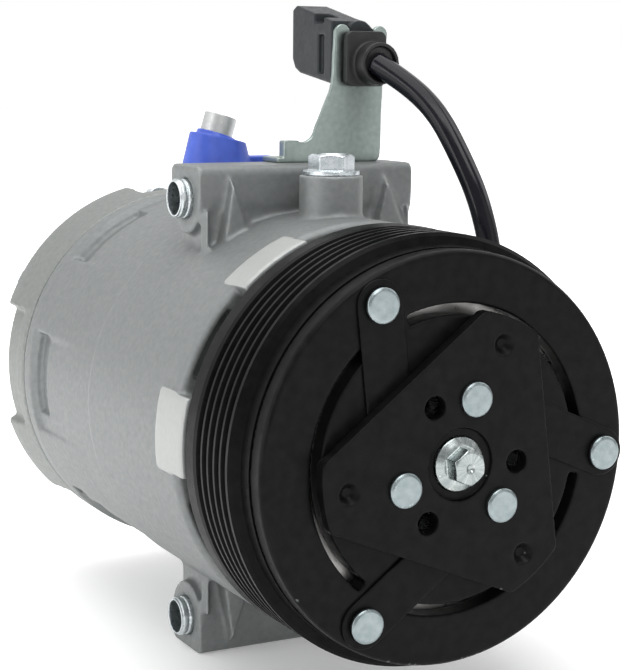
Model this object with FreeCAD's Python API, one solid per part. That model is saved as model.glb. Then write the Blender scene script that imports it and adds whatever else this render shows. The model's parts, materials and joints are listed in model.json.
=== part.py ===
import FreeCAD, Part
import math
import os

# Belt driven automotive air-conditioning compressor with a magnetic clutch.
# Millimetres. The shaft lies along Y, the pulley faces -Y, Z is up.
# The origin is on the shaft axis, in the middle of the belt grooves.
# Angles are in degrees, seen from the front, from +X towards +Z.

os.makedirs("parts", exist_ok=True)

# Pulley and belt
PULLEY_R = 55.0
GROOVES = 5
GROOVE_PITCH = 3.56
GROOVE_DEPTH = 2.9
PULLEY_FRONT_Y = -14.6
PULLEY_REAR_Y = 15.2
CREST_FRONT_Y = -10.3
FRICTION_R = 51.8
WEB_REAR_Y = -9.2
CAVITY_IN_R = 31.2
CAVITY_OUT_R = 47.4

# Pulley bearing
BEARING_IN_R = 17.5
BEARING_OUT_R = 27.5
BEARING_Y = (-9.4, 10.6)
BALL_R = 2.5
BALL_TRACK_R = 22.5
BALL_ROW_Y = (-4.4, 5.6)
BALLS_PER_ROW = 16

# Clutch coil
COIL_IN_R = 31.9
COIL_OUT_R = 46.7
COIL_WALL = 1.8
COIL_Y = (-8.4, 13.0)
COIL_PLATE_Y = 15.0
COIL_SEAT_R = 20.3

# Armature, springs and hub
ARMATURE_R = 51.65
ARMATURE_IN_R = 23.6
ARMATURE_Y = (-20.6, -15.1)
SPRING_Y = (-21.45, -20.75)
HUB_PLATE_Y = (-25.0, -21.45)
HUB_FLANGE_Y = -17.25
OUTER_RIVET_R = 44.7
OUTER_RIVET_ANGLE = 117.7
INNER_RIVET_R = 16.3
INNER_RIVET_ANGLE = 76.5
HUB_HOLE_ANGLE = 117.1
DIMPLE_R = 30.9
DIMPLE_ANGLE = 67.6
HUB_CORNER_R = 37.7
HUB_FLAT_R = 25.65
OUTER_HEAD_R = 4.4
INNER_HEAD_R = 4.35
BOLT_FLATS = 8.0
BOLT_TURN = 36.7
SLOT_IN_R = 36.0
SLOT_OUT_R = 38.8
SLOT_HALF_ANGLE = 52.2
ARMATURE_TRAVEL = 0.5

# Shaft
SHAFT_R = 8.0
SPLINE_R = 6.5
SHAFT_Y = (-19.0, 124.0)
SHOULDER_Y = -5.0

# Casings
BODY_R = 55.0
REAR_ZONE_R = 54.4
SEAM_R = 55.8
CAVITY_R = 47.0
NOSE_FRONT_Y = -12.0
FACE_Y = 15.0
BODY_FRONT_Y = 22.2
FRONT_WALL_Y = 27.5
LUG_CAVITY_R = 41.6
LUG_CAVITY_Y = 40.5
STEP_Y = 84.4
SEAM_Y = 138.4
GASKET = 0.8
REAR_Y = 162.4
PAD_R = 55.9
PAD_FRONT_Y = 15.6
PAD_HALF_ANGLE = 10.7
PADS = ((3.5, 32.6), (57.0, 28.4), (123.0, 28.4), (176.5, 32.6))
POCKET_ANGLES = ((139.0, 161.0), (196.0, 222.0), (318.0, 344.0))
POCKET_R = (46.5, 52.6)
POCKET_REAR_Y = 27.0
LABEL_PAD_R = 55.35
REAR_BOSS_Y = (97.0, 132.0)
REAR_BOSS_R = 55.7
LOBE_R = 57.2

# Mount bars, one above and one below the body, bored along X
BAR_HALF_X = 33.3
BAR_Y = 65.0
BAR_HALF_Y = 9.7
BAR_OUTER_Z = 68.1
BAR_BORE_Z = 59.0
SLEEVE_SEAT_R = 5.4
SLEEVE_BORE_R = 4.5
SLEEVE_X = (-36.6, -13.5)
FAR_BORE_R = 4.5
BAR_ROUND = 2.2
GUSSETS = (
    ((-28.6, 43.0), (-13.4, 43.0), (-24.4, 66.2)),
    ((17.6, 43.0), (36.2, 43.0), (23.8, 66.0)),
)
GUSSET_FRONTS = (
    ((-27.7, 43.0), (-18.0, 43.0), (-24.8, 63.2)),
    ((18.4, 43.0), (31.0, 43.0), (23.2, 63.0)),
)
GUSSET_DEPTH = 4.2
RIDGE_X = 31.2
RIDGE_Z = (42.0, 56.0)

# Oil filler boss in front of the upper bar
FILLER_Y = 42.5
FILLER_Z = 66.0
PLUG_FLATS = 10.9
PLUG_TURN = -27.6

# Cranking gear
PITCH_R = 31.5
PISTON_R = 13.97
BORE_R = 14.0
PLATE_Y = 72.0
PLATE_HALF = 5.0
PLATE_R = 39.5
MAX_TILT = 17.0
BALL_SEAT_R = 9.5
SHOE_CLEARANCE = 0.2
PISTON_ANGLES = [60.0 - 60.0 * k for k in range(6)]
BLOCK_Y = (96.5, 135.4)
CROWN_GAP = 0.5
LUG_Y = (30.5, 38.5)
ARM_X = 7.5
ARM_Z = 17.0
ARM_R = 4.4
ARM_END_Y = 50.5

# Fasteners
CASE_BOLT_R = 2.5
CASE_BOLT_TRACK_R = 50.2
CASE_BOLT_ANGLES = [30.0 + 60.0 * k for k in range(6)]

# Connector and its bracket
PLATE_FRONT_Y = 63.9
STEEL = 1.5
CONNECTOR_X = (12.2, 27.2)
CONNECTOR_Y = (65.6, 90.0)
CONNECTOR_Z = (90.0, 112.4)
PIN_R = 0.75
PIN_X = (17.8, 21.8)
PIN_Y = (73.0, 88.0)
PIN_Z = 102.2
BOOT_COLLAR_R = 5.9
BOOT_COLLAR_Y = 55.6

# Ports and their plastic cap
CAP_X = -10.9
CAP_Y = 93.0
CAP_HALF = 2.3
CAP_BASE_R = 8.9
CAP_TOP_R = 4.7
CAP_TOP_Z = 74.4
CAP_SLOPE = 12.0
STUD_R = 4.8
LOW_PORT_X = 7.0
PORT_Z = 62.5

# Gap in the front face for the coil lead
GLAND_ANGLE = 40.5

# Coil lead: route from the connector boot to the gland on the coil
LEAD_D = 6.7
LEAD_ROUTE = [
    (21.6, 57.4, 96.1),
    (27.6, 49.6, 90.6),
    (32.0, 40.6, 82.6),
    (34.4, 32.6, 71.4),
    (37.5, 26.6, 58.8),
    (39.8, 22.9, 41.6),
    (38.0, 20.4, 30.2),
]


def vec(x, y, z):
    return FreeCAD.Vector(x, y, z)


BOOT_COLLAR_AT = vec(22.6, 0, 95.8)
ALONG_Y = vec(0, 1, 0)
TOWARDS_Z = vec(0, -1, 0)


def spot(radius, angle, y):
    a = math.radians(angle)
    return vec(radius * math.cos(a), y, radius * math.sin(a))


def turned(outline):
    points = [vec(r, y, 0) for r, y in outline]
    face = Part.Face(Part.makePolygon(points + points[:1]))
    return face.revolve(vec(0, 0, 0), ALONG_Y, 360)


def tube(outer, inner, y0, y1):
    ring = Part.makeCylinder(outer, y1 - y0, vec(0, y0, 0), ALONG_Y)
    return ring.cut(Part.makeCylinder(inner, y1 - y0, vec(0, y0, 0), ALONG_Y))


def rod(radius, y0, y1, centre=vec(0, 0, 0)):
    return Part.makeCylinder(radius, y1 - y0, vec(centre.x, y0, centre.z), ALONG_Y)


def block(x, y, z):
    return Part.makeBox(x[1] - x[0], y[1] - y[0], z[1] - z[0], vec(x[0], y[0], z[0]))


def turn(shape, angle):
    copy = shape.copy()
    copy.rotate(vec(0, 0, 0), TOWARDS_Z, angle)
    return copy


def swept(outline, a0, a1):
    """Flat outline of (radius, y) points, turned about the shaft from one angle to the other."""
    points = [vec(r, y, 0) for r, y in outline]
    face = Part.Face(Part.makePolygon(points + points[:1]))
    return turn(face.revolve(vec(0, 0, 0), TOWARDS_Z, a1 - a0), a0)


def sector(inner, outer, y0, y1, a0, a1):
    return swept([(inner, y0), (outer, y0), (outer, y1), (inner, y1)], a0, a1)


def slot_outline(x, y, half, radius, z):
    """Upright-sided slot shape, long in X: two half circles and two lines."""
    return Part.Wire([
        Part.makeLine(vec(x - half, y - radius, z), vec(x + half, y - radius, z)),
        Part.Arc(vec(x + half, y - radius, z), vec(x + half + radius, y, z), vec(x + half, y + radius, z)).toShape(),
        Part.makeLine(vec(x + half, y + radius, z), vec(x - half, y + radius, z)),
        Part.Arc(vec(x - half, y + radius, z), vec(x - half - radius, y, z), vec(x - half, y - radius, z)).toShape(),
    ])


def slot_prism(x, y, half, radius, z0, z1):
    return Part.Face(slot_outline(x, y, half, radius, z0)).extrude(vec(0, 0, z1 - z0))


def prism(outline, y0, y1):
    """Flat outline of (x, z) points, made thick along Y."""
    points = [vec(x, y0, z) for x, z in outline]
    face = Part.Face(Part.makePolygon(points + points[:1]))
    return face.extrude(vec(0, y1 - y0, 0))


def hexagon(flats, height, base, direction, turned_by=0.0):
    """Hexagonal head standing on a base point, its far corners bevelled at 30 degrees."""
    corner = flats / math.sqrt(3)
    points = []
    for k in range(6):
        a = math.radians(60 * k + turned_by)
        points.append(vec(corner * math.cos(a), corner * math.sin(a), 0))
    head = Part.Face(Part.makePolygon(points + points[:1])).extrude(vec(0, 0, height))
    top = 0.475 * flats
    head = head.common(Part.makeCone(top + 1.73 * height, top, height))
    head.Placement = FreeCAD.Placement(base, FreeCAD.Rotation(vec(0, 0, 1), direction))
    return head


def fuse(shapes):
    whole = shapes[0].fuse(shapes[1:])
    return whole.removeSplitter()


def cut(shape, tools):
    for tool in tools:
        shape = shape.cut(tool)
    return shape


def group(shapes):
    return Part.makeCompound(shapes)


def save(name, shape):
    state = "" if shape.isValid() else "  NOT VALID"
    print(f"{name:22s} solids {len(shape.Solids):2d}  volume {shape.Volume:10.1f}{state}")
    shape.exportStep("parts/" + name + ".step")


# ---------------------------------------------------------------- clutch

def pulley():
    outline = [
        (BEARING_OUT_R - 1.6, PULLEY_FRONT_Y + 1.6),
        (BEARING_OUT_R, PULLEY_FRONT_Y),
        (FRICTION_R, PULLEY_FRONT_Y),
        (FRICTION_R + 0.4, CREST_FRONT_Y - 0.8),
        (PULLEY_R - 0.9, CREST_FRONT_Y),
        (PULLEY_R, CREST_FRONT_Y + 0.7),
    ]
    width = GROOVES * GROOVE_PITCH
    flank = GROOVE_DEPTH * math.tan(math.radians(20))
    tip = GROOVE_PITCH / 2 - flank
    for k in range(GROOVES):
        middle = -width / 2 + (k + 0.5) * GROOVE_PITCH
        bottom = tip * 0.35
        outline.append((PULLEY_R, middle - bottom - flank))
        outline.append((PULLEY_R - GROOVE_DEPTH, middle - bottom))
        outline.append((PULLEY_R - GROOVE_DEPTH, middle + bottom))
        outline.append((PULLEY_R, middle + bottom + flank))
    outline += [
        (PULLEY_R + 0.2, width / 2 + 1.0),
        (PULLEY_R + 0.2, PULLEY_REAR_Y - 0.6),
        (PULLEY_R - 0.4, PULLEY_REAR_Y),
        (CAVITY_OUT_R, PULLEY_REAR_Y),
        (CAVITY_OUT_R, WEB_REAR_Y),
        (CAVITY_IN_R, WEB_REAR_Y),
        (CAVITY_IN_R, BEARING_Y[1] + 0.8),
        (BEARING_OUT_R, BEARING_Y[1] + 0.8),
        (BEARING_OUT_R, BEARING_Y[0]),
        (BEARING_OUT_R - 1.6, BEARING_Y[0]),
    ]
    body = turned(outline)
    slots = []
    for radius, count, span in ((34.2, 4, 70), (42.6, 6, 48)):
        for k in range(count):
            start = k * 360.0 / count
            slots.append(
                sector(radius - 0.9, radius + 0.9, PULLEY_FRONT_Y - 1, WEB_REAR_Y + 1, start, start + span))
    return cut(body, slots)


def ball_grooves():
    return [Part.makeTorus(BALL_TRACK_R, BALL_R + 0.05, vec(0, y, 0), ALONG_Y) for y in BALL_ROW_Y]


def bearing_outer_race():
    return cut(tube(BEARING_OUT_R, BALL_TRACK_R + 1.7, *BEARING_Y), ball_grooves())


def bearing_inner_race():
    return cut(tube(BALL_TRACK_R - 1.7, BEARING_IN_R, *BEARING_Y), ball_grooves())


def bearing_balls():
    """Two rows of balls, each in the pockets of a thin ribbon cage."""
    solids = []
    for y in BALL_ROW_Y:
        cage = tube(BALL_TRACK_R + 0.4, BALL_TRACK_R - 0.4, y - 3.2, y + 3.2)
        for k in range(BALLS_PER_ROW):
            angle = k * 360.0 / BALLS_PER_ROW
            pocket = Part.makeCylinder(BALL_R + 0.1, 6, spot(BALL_TRACK_R - 3, angle, y), spot(1, angle, 0))
            cage = cage.cut(pocket)
            solids.append(Part.makeSphere(BALL_R, spot(BALL_TRACK_R, angle, y)))
        solids.append(cage)
    return group(solids)


def split_ring(outer, inner, y0, y1, gap_angle):
    ring = tube(outer, inner, y0, y1)
    return ring.cut(sector(inner - 1, outer + 1, y0 - 1, y1 + 1, gap_angle - 12, gap_angle + 12))


def coil_shell():
    cup = turned([
        (COIL_SEAT_R + 0.1, COIL_Y[1]), (COIL_IN_R, COIL_Y[1]), (COIL_IN_R, COIL_Y[0]),
        (COIL_IN_R + COIL_WALL, COIL_Y[0]), (COIL_IN_R + COIL_WALL, COIL_Y[1] - COIL_WALL),
        (COIL_OUT_R - COIL_WALL, COIL_Y[1] - COIL_WALL), (COIL_OUT_R - COIL_WALL, COIL_Y[0]),
        (COIL_OUT_R, COIL_Y[0]), (COIL_OUT_R, COIL_PLATE_Y), (COIL_SEAT_R + 0.1, COIL_PLATE_Y),
    ])
    return cup


def coil_winding():
    gap = 0.2
    return tube(COIL_OUT_R - COIL_WALL - gap, COIL_IN_R + COIL_WALL + gap,
                COIL_Y[0] + 1.2, COIL_Y[1] - COIL_WALL - gap)


def slot_ring(angle):
    """One long arc slot through the armature, from one rivet to the next."""
    y0 = ARMATURE_Y[0] - 1
    y1 = ARMATURE_Y[1] + 1
    return sector(SLOT_IN_R, SLOT_OUT_R, y0, y1, angle - SLOT_HALF_ANGLE, angle + SLOT_HALF_ANGLE)


def armature_plate():
    edge = 0.8
    ring = turned([
        (ARMATURE_IN_R, ARMATURE_Y[0]), (ARMATURE_R - edge, ARMATURE_Y[0]),
        (ARMATURE_R, ARMATURE_Y[0] + edge), (ARMATURE_R, ARMATURE_Y[1]), (ARMATURE_IN_R, ARMATURE_Y[1]),
    ])
    slots = [slot_ring(OUTER_RIVET_ANGLE + 60 + 120 * k) for k in range(3)]
    holes = [rod(2.5, ARMATURE_Y[0] - 1, ARMATURE_Y[1] + 1, spot(OUTER_RIVET_R, OUTER_RIVET_ANGLE + 120 * k, 0))
             for k in range(3)]
    return cut(ring, slots + holes)


def armature_rivets():
    """Heads stand off the springs by the armature's travel."""
    rivets = []
    under = SPRING_Y[0] - ARMATURE_TRAVEL - 0.05
    for k in range(3):
        centre = spot(OUTER_RIVET_R, OUTER_RIVET_ANGLE + 120 * k, 0)
        head = rod(OUTER_HEAD_R, under - 0.9, under, centre)
        crown = Part.makeCone(OUTER_HEAD_R - 0.7, OUTER_HEAD_R, 0.4, vec(centre.x, under - 1.3, centre.z), ALONG_Y)
        shank = rod(2.5, under, ARMATURE_Y[1], centre)
        rivets.append(fuse([crown, head, shank]))
    return group(rivets)


def leaf_spring():
    """One flat arm from an outer rivet to the next inner rivet."""
    start = spot(OUTER_RIVET_R, OUTER_RIVET_ANGLE, 0)
    end = spot(INNER_RIVET_R, INNER_RIVET_ANGLE + 120, 0)
    along = end.sub(start)
    length = along.Length
    half = 6.2
    strip = block((0, length), SPRING_Y, (-half, half))
    strip.rotate(vec(0, 0, 0), TOWARDS_Z, math.degrees(math.atan2(along.z, along.x)))
    strip.translate(start)
    eyes = [rod(half, *SPRING_Y, start), rod(half, *SPRING_Y, end)]
    hole_out = rod(2.85, SPRING_Y[0] - 1, SPRING_Y[1] + 1, start)
    hole_in = rod(2.3, SPRING_Y[0] - 1, SPRING_Y[1] + 1, end)
    shaft_clear = rod(9.0, SPRING_Y[0] - 1, SPRING_Y[1] + 1)
    return cut(fuse([strip] + eyes), [hole_out, hole_in, shaft_clear])


def leaf_springs():
    return group([turn(leaf_spring(), 120 * k) for k in range(3)])


def hub_plate():
    """Rounded triangle with cut corners, pressed from steel."""
    tips = [spot(2 * HUB_FLAT_R, DIMPLE_ANGLE + 120 * k, 0) for k in range(3)]
    triangle = prism([(p.x, p.z) for p in tips], *HUB_PLATE_Y)
    plate = triangle.common(rod(HUB_CORNER_R, *HUB_PLATE_Y)).removeSplitter()
    corners = [e for e in plate.Edges if abs(e.tangentAt(e.FirstParameter).y) > 0.9]
    plate = plate.makeFillet(2.5, corners)
    y0 = HUB_PLATE_Y[0] - 1
    y1 = HUB_PLATE_Y[1] + 1
    tools = [rod(SPLINE_R + 0.2, y0, y1), rod(9.0, y0, HUB_PLATE_Y[0] + 1.2)]
    for k in range(3):
        tools.append(rod(2.9, y0, y1, spot(INNER_RIVET_R, HUB_HOLE_ANGLE + 120 * k, 0)))
        tools.append(rod(2.3, y0, y1, spot(INNER_RIVET_R, INNER_RIVET_ANGLE + 120 * k, 0)))
        centre = spot(DIMPLE_R, DIMPLE_ANGLE + 120 * k, HUB_PLATE_Y[0])
        tools.append(Part.makeCone(2.8, 1.2, 1.8, centre, ALONG_Y))
    return cut(plate, tools)


def hub():
    front = SPRING_Y[1]
    outline = [
        (SPLINE_R, front), (21.5, front), (21.5, HUB_FLANGE_Y), (9.5, HUB_FLANGE_Y),
        (9.5, -9.8), (8.0, -9.8), (8.0, SHOULDER_Y - 0.8), (SPLINE_R, SHOULDER_Y - 0.8),
    ]
    tools = []
    for k in range(3):
        for angle, radius in ((HUB_HOLE_ANGLE, 2.9), (INNER_RIVET_ANGLE, 2.3)):
            tools.append(rod(radius, front - 1, HUB_FLANGE_Y + 1, spot(INNER_RIVET_R, angle + 120 * k, 0)))
    return cut(turned(outline), tools)


def hub_rivets():
    rivets = []
    for k in range(3):
        centre = spot(INNER_RIVET_R, INNER_RIVET_ANGLE + 120 * k, 0)
        front = HUB_PLATE_Y[0]
        head = rod(INNER_HEAD_R, front - 1.0, front, centre)
        crown = Part.makeCone(INNER_HEAD_R - 0.7, INNER_HEAD_R, 0.4, vec(centre.x, front - 1.4, centre.z), ALONG_Y)
        shank = rod(2.3, HUB_PLATE_Y[0], HUB_FLANGE_Y, centre)
        rivets.append(fuse([crown, head, shank]))
    return group(rivets)


def centre_bolt():
    seat = HUB_PLATE_Y[0] + 1.2
    flange = rod(6.8, seat - 0.6, seat)
    skirt = Part.makeCone(5.0, 6.8, 1.0, vec(0, seat - 1.6, 0), ALONG_Y)
    head = hexagon(BOLT_FLATS, 4.6, vec(0, seat - 1.1, 0), vec(0, -1, 0), BOLT_TURN)
    dimple = Part.makeCone(1.3, 0.5, 0.6, vec(0, seat - 5.7, 0), ALONG_Y)
    shank = rod(3.0, seat, SHAFT_Y[0] + 14)
    return fuse([head.cut(dimple), skirt, flange, shank])


def shim():
    return tube(8.0, SPLINE_R, SHOULDER_Y - 0.8, SHOULDER_Y)


# ---------------------------------------------------------------- casings

def gusset(foot, front, face_y, outward, side):
    """Raised triangle on a face of a mount bar with sloping sides, widening towards the body."""
    sections = []
    for outline, y in ((foot, face_y), (front, face_y + GUSSET_DEPTH * outward)):
        points = [vec(x, y, side * z) for x, z in outline]
        sections.append(Part.makePolygon(points + points[:1]))
    return Part.makeLoft(sections, True, True)


def ridge(x, front_y, side):
    """Thin sharp rib down the front of a mount bar."""
    z0, z1 = sorted((side * RIDGE_Z[0], side * RIDGE_Z[1]))
    points = [vec(x - 1.4, front_y, z0), vec(x - 0.2, front_y - 3.2, z0), vec(x + 1.2, front_y, z0)]
    return Part.Face(Part.makePolygon(points + points[:1])).extrude(vec(0, 0, z1 - z0))


def mount_bar(side):
    """side 1 is the bar above the body, -1 the bar below it."""
    start = vec(-BAR_HALF_X, BAR_Y, side * BAR_BORE_Z)
    profile = Part.makeCylinder(BAR_HALF_Y, 2 * BAR_HALF_X, start, vec(1, 0, 0))
    outer = side * BAR_OUTER_Z
    y = (BAR_Y - BAR_HALF_Y, BAR_Y + BAR_HALF_Y)
    cap = block((-BAR_HALF_X, BAR_HALF_X), y, sorted((side * BAR_BORE_Z, outer)))
    long_edges = [e for e in cap.Edges if e.Length > BAR_HALF_X and abs(e.CenterOfMass.z - outer) < 0.1]
    cap = cap.makeFillet(BAR_ROUND, long_edges)
    inner_z = sorted((side * (BAR_BORE_Z - BAR_HALF_Y), outer))
    profile = profile.common(block((-BAR_HALF_X, BAR_HALF_X), y, inner_z))
    web_y = (y[0] + 0.6, y[1] - 0.6)
    web = block((-BAR_HALF_X + 2.8, BAR_HALF_X - 2.8), web_y, sorted((side * 30.0, side * BAR_BORE_Z)))
    pieces = [profile, cap, web]
    for foot, front in zip(GUSSETS, GUSSET_FRONTS):
        pieces.append(gusset(foot, front, web_y[0], -1, side))
        pieces.append(gusset(foot, front, web_y[1], 1, side))
    for x in (-RIDGE_X, RIDGE_X):
        pieces.append(ridge(x, web_y[0] + 0.4, side))
    return fuse(pieces)


def gland_notch():
    """Gap in the front face where the coil lead passes behind the pulley."""
    floor = block((39.0, 62.0), (14.9, 25.2), (-9.5, 9.5))
    deep = block((46.5, 62.0), (14.9, 33.0), (-7.5, 11.2))
    return turn(fuse([floor, deep]), GLAND_ANGLE)


def main_housing():
    shell = turned([
        (12.0, NOSE_FRONT_Y), (BEARING_IN_R, NOSE_FRONT_Y), (BEARING_IN_R, BEARING_Y[1]),
        (COIL_SEAT_R, BEARING_Y[1]), (COIL_SEAT_R, FACE_Y), (43.0, FACE_Y),
        (47.5, BODY_FRONT_Y), (BODY_R - 1.2, BODY_FRONT_Y), (BODY_R, BODY_FRONT_Y + 1.2),
        (BODY_R, STEP_Y - 1.0), (REAR_ZONE_R, STEP_Y), (REAR_ZONE_R, 131.0),
        (SEAM_R, 132.2), (SEAM_R, SEAM_Y), (12.0, SEAM_Y),
    ])
    pads = [
        sector(44.0, PAD_R, PAD_FRONT_Y, rear, a - PAD_HALF_ANGLE, a + PAD_HALF_ANGLE) for a, rear in PADS
    ]
    label_pad = sector(52.0, LABEL_PAD_R, 66.0, STEP_Y, 118, 135)
    swell = [(50.0, REAR_BOSS_Y[0]), (REAR_ZONE_R, REAR_BOSS_Y[0]), (REAR_BOSS_R, REAR_BOSS_Y[1]), (50.0, REAR_BOSS_Y[1])]
    bosses = [swept(swell, a - 13, a + 13) for a in (152, 210, 28, 330, 270)]
    filler = Part.makeCylinder(8.6, FILLER_Z - 48.0, vec(0, FILLER_Y, 48.0), vec(0, 0, 1))
    port_boss = slot_prism(CAP_X, CAP_Y, CAP_HALF, 8.6, 38.0, PORT_Z)
    low_boss = slot_prism(CAP_X + 10.0, CAP_Y, 12.0, 7.0, 38.0, PORT_Z)
    solid = fuse([shell, mount_bar(1), mount_bar(-1), filler, port_boss, low_boss, label_pad] + pads + bosses)
    tools = [
        rod(CAVITY_R, LUG_CAVITY_Y, SEAM_Y + 1),
        rod(LUG_CAVITY_R, FRONT_WALL_Y, LUG_CAVITY_Y + 1),
        rod(12.0, NOSE_FRONT_Y - 1, 5.0),
        rod(11.5, 4.0, FRONT_WALL_Y + 1),
        tube(12.8, 11.0, -8.2, -7.2),
        tube(18.5, 16.4, -10.6, BEARING_Y[0]),
        tube(21.5, 19.2, 11.8, COIL_Y[1]),
        Part.makeCylinder(4.9, 30, vec(0, FILLER_Y, 40.0), vec(0, 0, 1)),
        gland_notch(),
    ]
    tools += [sector(*POCKET_R, FACE_Y - 1, POCKET_REAR_Y, a0, a1) for a0, a1 in POCKET_ANGLES]
    for side in (1, -1):
        bore = vec(-BAR_HALF_X - 1, BAR_Y, side * BAR_BORE_Z)
        tools.append(Part.makeCylinder(FAR_BORE_R, 2 * BAR_HALF_X + 2, bore, vec(1, 0, 0)))
        tools.append(Part.makeCylinder(SLEEVE_SEAT_R, BAR_HALF_X + 1 + SLEEVE_X[1], bore, vec(1, 0, 0)))
    for x, radius in ((CAP_X, 6.5), (LOW_PORT_X, 4.5)):
        tools.append(Part.makeCylinder(radius, 9.0, vec(x, CAP_Y, 54.0), vec(0, 0, 1)))
    for a in (125.5, 178.0, 54.5, 2.0, 232.0, 308.0):
        tools.append(sector(52.6, 60.0, 121.5, 130.2, a - 13, a + 13))
    for a in CASE_BOLT_ANGLES:
        tools.append(rod(CASE_BOLT_R + 0.05, SEAM_Y - 16, SEAM_Y + 1, spot(CASE_BOLT_TRACK_R, a, 0)))
    return cut(solid, tools)


def rear_head():
    front = SEAM_Y + GASKET
    body = turned([
        (0, front), (SEAM_R, front), (SEAM_R, front + 6.5), (54.4, front + 8.0),
        (54.4, REAR_Y - 4.5), (53.0, REAR_Y - 1.4), (49.8, REAR_Y), (0, REAR_Y),
    ])
    pieces = [body, rod(11.5, REAR_Y - 6, REAR_Y + 2.6, vec(0, 0, -28))]
    lobe = [
        (48.0, front), (SEAM_R - 0.1, front), (LOBE_R, REAR_Y - 8.0), (LOBE_R, REAR_Y - 4.0),
        (LOBE_R - 1.6, REAR_Y - 2.2), (48.0, REAR_Y - 2.2),
    ]
    for a0, a1 in ((20, 77), (103, 160), (198, 225), (255, 285), (315, 342)):
        pieces.append(swept(lobe, a0, a1))
    tools = [
        rod(16.5, front - 1, REAR_Y - 9),
        tube(44.0, 20.5, front - 1, REAR_Y - 9),
        rod(8.0, REAR_Y - 8, REAR_Y + 4, vec(0, 0, -28)),
        Part.makeCylinder(5.0, 16, spot(43.0, 60, 152.0), spot(1, 60, 0)),
    ]
    for k in range(6):
        tools.append(sector(20, 41, REAR_Y - 3.2, REAR_Y + 1, 60 * k + 8, 60 * k + 52))
    keep = rod(11.5, REAR_Y - 6, REAR_Y + 2.6, vec(0, 0, -28)).cut(rod(8.0, REAR_Y - 8, REAR_Y + 4, vec(0, 0, -28)))
    for a in CASE_BOLT_ANGLES:
        tools.append(rod(CASE_BOLT_R + 0.3, front - 1, REAR_Y + 1, spot(CASE_BOLT_TRACK_R, a, 0)))
    return fuse([cut(fuse(pieces), tools), keep])


def head_gasket():
    ring = tube(54.9, CAVITY_R + 0.2, SEAM_Y, SEAM_Y + GASKET)
    holes = [rod(CASE_BOLT_R + 0.3, SEAM_Y - 1, SEAM_Y + 2, spot(CASE_BOLT_TRACK_R, a, 0)) for a in CASE_BOLT_ANGLES]
    return cut(ring, holes)


def case_bolts():
    bolts = []
    for a in CASE_BOLT_ANGLES:
        seat = spot(CASE_BOLT_TRACK_R, a, REAR_Y)
        shank = rod(CASE_BOLT_R, SEAM_Y - 15, REAR_Y, seat)
        flange = rod(4.9, REAR_Y, REAR_Y + 0.9, seat)
        head = hexagon(8.0, 4.6, vec(seat.x, REAR_Y + 0.9, seat.z), ALONG_Y)
        bolts.append(fuse([shank, flange, head]))
    return group(bolts)


def mount_sleeves():
    """Grooved steel sleeves in the left ends of both bars."""
    sleeves = []
    length = SLEEVE_X[1] - SLEEVE_X[0]
    for side in (1, -1):
        start = vec(SLEEVE_X[0], BAR_Y, side * BAR_BORE_Z)
        sleeve = Part.makeCylinder(SLEEVE_SEAT_R, length, start, vec(1, 0, 0))
        tools = [Part.makeCylinder(SLEEVE_BORE_R, length, start, vec(1, 0, 0))]
        for x in (SLEEVE_X[0], SLEEVE_X[0] + 1.9):
            groove = Part.makeCylinder(6.0, 0.7, vec(x, start.y, start.z), vec(1, 0, 0))
            core = Part.makeCylinder(SLEEVE_SEAT_R - 0.4, 0.7, vec(x, start.y, start.z), vec(1, 0, 0))
            tools.append(groove.cut(core))
        sleeves.append(cut(sleeve, tools))
    return group(sleeves)


def oil_plug():
    seat = vec(0, FILLER_Y, FILLER_Z)
    flange = Part.makeCylinder(7.7, 1.2, seat, vec(0, 0, 1))
    head = hexagon(PLUG_FLATS, 4.4, seat.add(vec(0, 0, 1.2)), vec(0, 0, 1), PLUG_TURN)
    dish = Part.makeCone(3.6, 4.2, 0.7, seat.add(vec(0, 0, 4.9)), vec(0, 0, 1))
    shank = Part.makeCylinder(4.85, 14.0, seat.sub(vec(0, 0, 14.0)), vec(0, 0, 1))
    return fuse([shank, flange, head.cut(dish)])


# ---------------------------------------------------------------- cranking gear

def shaft():
    front = rod(SPLINE_R, SHAFT_Y[0], SHOULDER_Y)
    rest = rod(SHAFT_R, SHOULDER_Y, SHAFT_Y[1])
    return fuse([front, rest]).cut(rod(3.0, SHAFT_Y[0] - 1, SHAFT_Y[0] + 14))


def lug_plate():
    disc = tube(40.0, SHAFT_R, *LUG_Y)
    tools = [sector(25.5, 37.5, LUG_Y[1] - 3, LUG_Y[1] + 1, 40, 140)]
    arms = []
    for x in (-ARM_X, ARM_X):
        arms.append(rod(ARM_R, LUG_Y[1] - 1, ARM_END_Y, vec(x, 0, ARM_Z)))
        tools.append(rod(3.2, ARM_END_Y - 8, ARM_END_Y + 1, vec(x, 0, ARM_Z)))
    return cut(fuse([disc] + arms), tools)


def swash_plate():
    rim = 1.4
    disc = turned([
        (12.4, PLATE_Y - 7), (16.0, PLATE_Y - 7), (16.0, PLATE_Y - PLATE_HALF),
        (PLATE_R - rim, PLATE_Y - PLATE_HALF), (PLATE_R, PLATE_Y - PLATE_HALF + rim),
        (PLATE_R, PLATE_Y + PLATE_HALF - rim), (PLATE_R - rim, PLATE_Y + PLATE_HALF),
        (16.0, PLATE_Y + PLATE_HALF), (16.0, PLATE_Y + 7), (12.4, PLATE_Y + 7),
    ])
    ear = block((-9.9, 9.9), (PLATE_Y - 9, PLATE_Y - 4), (13.6, 19.4))
    holes = [rod(2.0, PLATE_Y - 10, PLATE_Y - PLATE_HALF, vec(x, 0, ARM_Z)) for x in (-ARM_X, ARM_X)]
    return cut(fuse([disc, ear]), holes)


def guide_pins():
    pins = []
    for x in (-ARM_X, ARM_X):
        ball = Part.makeSphere(2.9, vec(x, PLATE_Y - 14.0, ARM_Z))
        pins.append(fuse([rod(2.0, PLATE_Y - 14.0, PLATE_Y - PLATE_HALF, vec(x, 0, ARM_Z)), ball]))
    return group(pins)


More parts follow.
